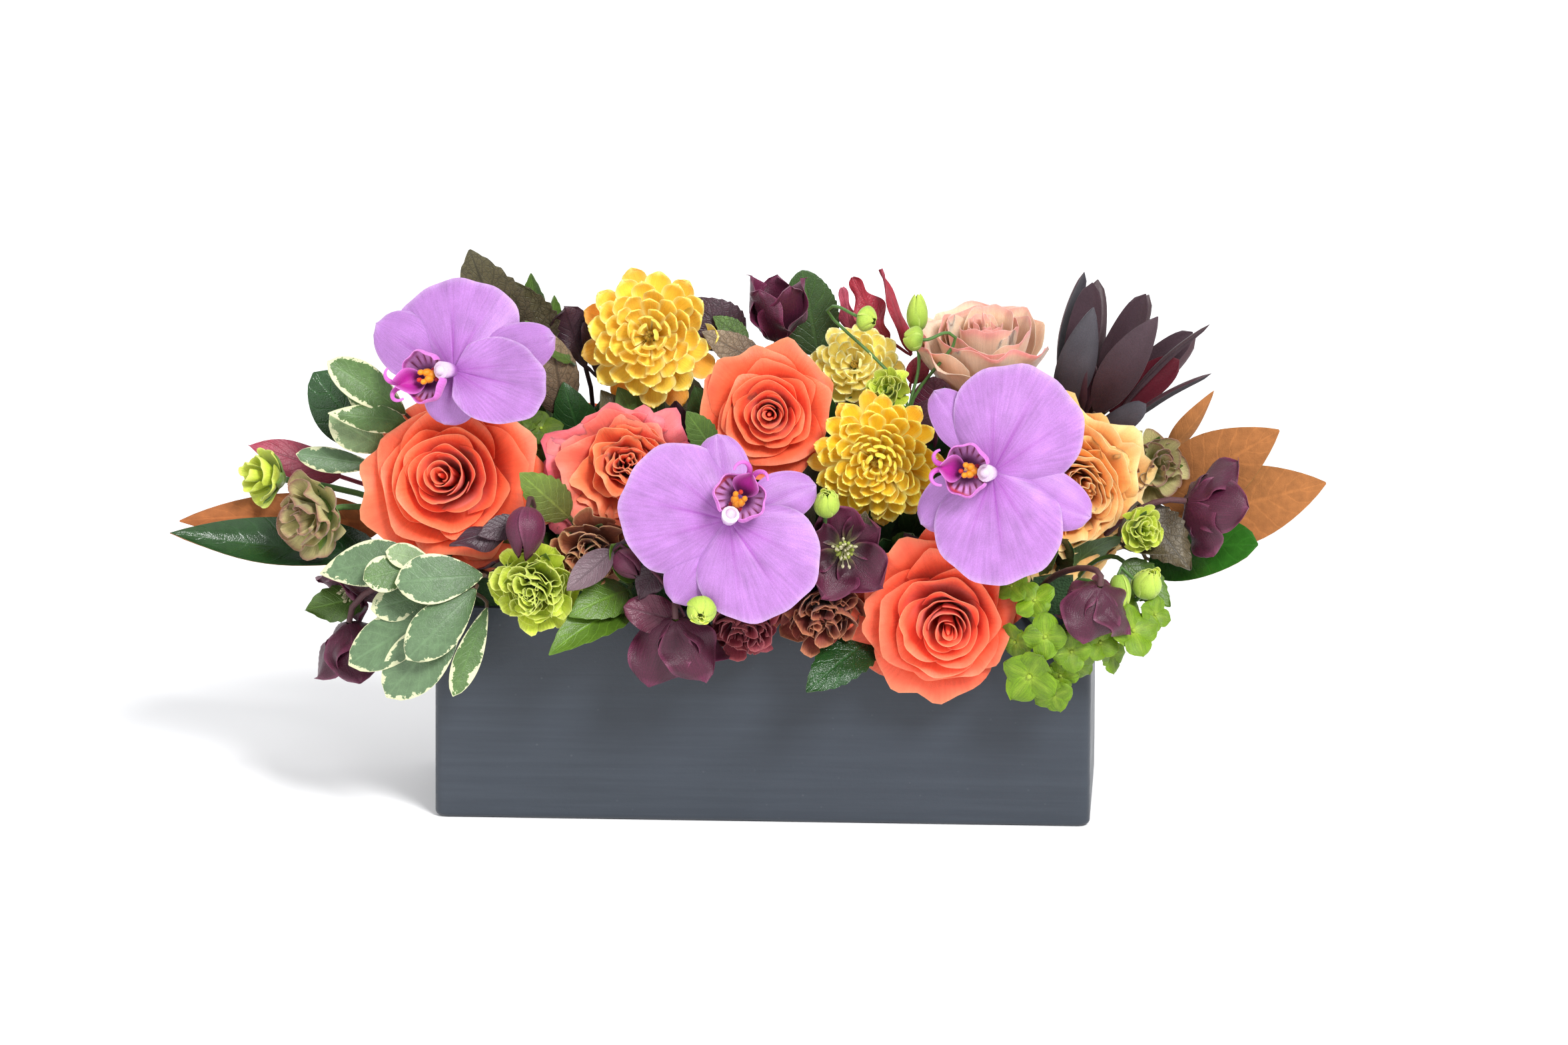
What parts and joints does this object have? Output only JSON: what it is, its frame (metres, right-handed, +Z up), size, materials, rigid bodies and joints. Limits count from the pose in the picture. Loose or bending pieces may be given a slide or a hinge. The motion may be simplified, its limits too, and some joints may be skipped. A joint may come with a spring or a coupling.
{
  "type": "flower arrangement in box",
  "caption": "Low oblong arrangement of roses, orchids, dahlias, hellebores and mixed foliage, held by floral foam in a rectangular slate-grey ceramic box.",
  "frame": {"origin": "centre of the box's flat underside", "axes": "+X along the box to the right as seen from the front, +Y from the front face towards the back, +Z up"},
  "size_m": [0.5336, 0.2175, 0.2571],
  "materials": {
    "slate_glaze": "satin",
    "floral_foam": "matte",
    "orange_petal": "matte",
    "pink_petal": "matte",
    "peach_petal": "matte",
    "lilac_petal": "matte",
    "yellow_petal": "matte",
    "wine_petal": "satin",
    "lime_petal": "matte",
    "faded_petal": "matte",
    "rust_petal": "matte",
    "green_sepal": "matte",
    "green_leaf": "satin",
    "brown_leaf": "satin",
    "red_leaf": "satin",
    "grey_leaf": "satin",
    "magnolia_leaf": "satin",
    "plum_bract": "satin"
  },
  "bodies": {
    "root": {"box": "slate_glaze", "foam_brick": "floral_foam", "foam_offcut": "floral_foam", "rose_left": "orange_petal", "rose_pink": "pink_petal", "rose_centre": "orange_petal", "rose_front": "orange_petal", "rose_peach": "peach_petal", "rose_back": "peach_petal", "rose_rear_left": "orange_petal", "rose_rear_right": "pink_petal", "orchid_left": "lilac_petal", "orchid_centre": "lilac_petal", "orchid_right": "lilac_petal", "dahlia_left": "yellow_petal", "dahlia_right": "yellow_petal", "dahlia_back": "yellow_petal", "hellebore_left": "wine_petal", "hellebore_drooping": "wine_petal", "hellebore_bottom": "wine_petal", "hellebore_centre": "wine_petal", "hellebore_back": "wine_petal", "hellebore_right": "wine_petal", "hellebore_low_right": "wine_petal", "hellebore_bud_left": "wine_petal", "hellebore_bud_centre": "wine_petal", "lime_bloom_front": "lime_petal", "lime_bloom_left": "lime_petal", "lime_bloom_right": "lime_petal", "lime_bud_centre": "lime_petal", "lime_bud_bottom": "lime_petal", "lime_bud_right": "lime_petal", "lime_spray_top": "lime_petal", "lisianthus_left": "faded_petal", "lisianthus_right": "faded_petal", "ruffle_brown": "rust_petal", "ruffle_burgundy": "rust_petal", "ruffle_rust": "rust_petal", "hydrangea_right": "green_sepal", "hydrangea_left": "green_sepal", "hydrangea_rear": "green_sepal", "leucadendron": "plum_bract", "magnolia_right": "magnolia_leaf", "magnolia_left": "green_leaf", "pittosporum_upper": "grey_leaf", "pittosporum_lower": "grey_leaf", "pittosporum_rear": "grey_leaf", "leaf_brown_top": "brown_leaf", "leaf_olive": "brown_leaf", "leaf_top_back": "green_leaf", "leaf_red_top": "red_leaf", "leaf_red_left": "red_leaf", "leaf_round_left": "green_leaf", "leaf_under_front": "green_leaf", "leaf_front_left": "green_leaf", "leaf_brown_right": "brown_leaf", "leaf_rear_left": "green_leaf", "leaf_rear_middle": "brown_leaf", "leaf_rear_right": "green_leaf"}
  },
  "joints": []
}
